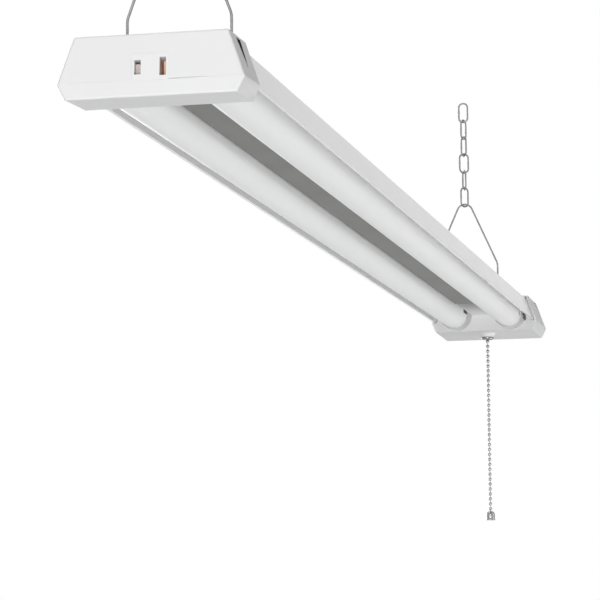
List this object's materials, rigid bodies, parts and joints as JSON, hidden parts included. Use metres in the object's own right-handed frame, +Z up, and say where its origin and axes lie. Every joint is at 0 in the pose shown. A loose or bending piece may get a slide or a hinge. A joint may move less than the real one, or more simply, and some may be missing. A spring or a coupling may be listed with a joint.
{
  "type": "hanging shop light",
  "caption": "Long slim hanging shop light: folded steel housing, paired round tubes, moulded end caps, wire hangers on link chains, an outlet in one end and a pull chain switch.",
  "frame": {"origin": "centre of the two screw holes, on the outer face of the housing's top plate", "axes": "+X along the light towards the pull chain end, +Z up, +Y to the left as seen from the outlet end looking along +X"},
  "size_m": [1.1548, 0.0952, 0.3546],
  "materials": {
    "white_paint": "satin white paint",
    "grey_paint": "satin grey paint",
    "cap_plastic": "smooth moulded",
    "diffuser_plastic": "milky",
    "tube_end_plastic": "smooth moulded",
    "rail_aluminium": "extruded",
    "board_white": "solder mask",
    "emitter_yellow": "phosphor",
    "bright_steel": "zinc plated",
    "bright_chrome": "nickel plated",
    "driver_steel": "plain",
    "circuit_green": "solder mask",
    "part_black": "moulded",
    "lead_black": "smooth",
    "contact_brass": "plain",
    "terminal_white": "moulded",
    "outlet_plastic": "smooth moulded"
  },
  "bodies": {
    "chain_tops": {"far_link_1": "bright_steel", "near_link_1": "bright_steel"},
    "far_swivel": {"far_link_2": "bright_steel"},
    "far_chain": {"far_link_3": "bright_steel", "far_link_4": "bright_steel", "far_link_5": "bright_steel", "far_link_6": "bright_steel", "far_hanger": "bright_steel"},
    "near_swivel": {"near_link_2": "bright_steel"},
    "near_chain": {"near_link_3": "bright_steel", "near_link_4": "bright_steel", "near_link_5": "bright_steel", "near_hanger": "bright_steel"},
    "pull_stem": {"switch_slider": "terminal_white", "pull_lead": "bright_chrome"},
    "ratchet": {"switch_wheel": "contact_brass"},
    "pull_gimbal": {"pull_joint_bead": "bright_chrome"},
    "pull_cord": {"pull_chain": "bright_chrome", "pull_bell": "bright_chrome"},
    "fixture": {"housing": "white_paint", "reflector_tray": "white_paint", "driver_cover": "grey_paint", "cover_screws": "part_black", "near_cap": "cap_plastic", "far_cap": "cap_plastic", "cap_screws": "bright_steel", "left_diffuser": "diffuser_plastic", "right_diffuser": "diffuser_plastic", "left_rail": "rail_aluminium", "right_rail": "rail_aluminium", "left_led_board": "board_white", "right_led_board": "board_white", "left_emitters": "emitter_yellow", "right_emitters": "emitter_yellow", "left_tube_ends": "tube_end_plastic", "right_tube_ends": "tube_end_plastic", "tube_clips": "bright_steel", "driver_case": "driver_steel", "driver_board": "circuit_green", "driver_parts": "part_black", "supply_leads": "lead_black", "ground_screw": "contact_brass", "terminal_block": "terminal_white", "cord_gland": "part_black", "gland_nut": "part_black", "outlet_body": "outlet_plastic", "live_contact": "contact_brass", "neutral_contact": "contact_brass", "switch_body": "part_black", "switch_bush": "bright_chrome", "switch_nut": "bright_steel", "switch_spring": "bright_steel", "switch_contacts": "contact_brass"}
  },
  "joints": [
    {"name": "side_swing", "type": "hinge", "parent": "chain_tops", "child": "far_swivel", "pos_m": [0.413, 0, 0.14255], "axis": [1, 0, 0], "range_deg": [-15, 15]},
    {"name": "fore_aft_swing", "type": "hinge", "parent": "far_swivel", "child": "far_chain", "pos_m": [0.413, 0, 0.12785], "axis": [0, 1, 0], "range_deg": [-12, 12]},
    {"name": "far_hanger_pivot", "type": "hinge", "parent": "far_chain", "child": "fixture", "pos_m": [0.413, 0, -0.002], "axis": [0, 1, 0], "range_deg": [-12, 12]},
    {"name": "near_side_swing", "type": "hinge", "parent": "chain_tops", "child": "near_swivel", "pos_m": [-0.52, 0, 0.14255], "axis": [1, 0, 0], "range_deg": [-15, 15]},
    {"name": "near_fore_aft_swing", "type": "hinge", "parent": "near_swivel", "child": "near_chain", "pos_m": [-0.52, 0, 0.12785], "axis": [0, 1, 0], "range_deg": [-12, 12]},
    {"name": "pull_slide", "type": "slide", "parent": "fixture", "child": "pull_stem", "axis": [0, 0, -1], "range_m": [0, 0.007], "stiffness_N_per_m": 600, "springref_m": -0.005, "deforming": ["switch_spring"]},
    {"name": "ratchet_turn", "type": "hinge", "parent": "fixture", "child": "ratchet", "pos_m": [0.5414, 0, -0.012], "axis": [0, -1, 0], "range_deg": [0, 45]},
    {"name": "bead_tilt", "type": "hinge", "parent": "pull_stem", "child": "pull_gimbal", "pos_m": [0.533, 0, -0.03592], "axis": [1, 0, 0], "range_deg": [-20, 20]},
    {"name": "chain_tilt", "type": "hinge", "parent": "pull_gimbal", "child": "pull_cord", "pos_m": [0.533, 0, -0.04032], "axis": [0, 1, 0], "range_deg": [-20, 20]}
  ],
  "couplings": [
    {"joint": "far_hanger_pivot", "follows": "fore_aft_swing", "ratio": -1},
    {"joint": "near_side_swing", "follows": "side_swing", "ratio": 1},
    {"joint": "near_fore_aft_swing", "follows": "fore_aft_swing", "ratio": 1},
    {"joint": "ratchet_turn", "follows": "pull_slide", "rad_per_m": 112}
  ]
}
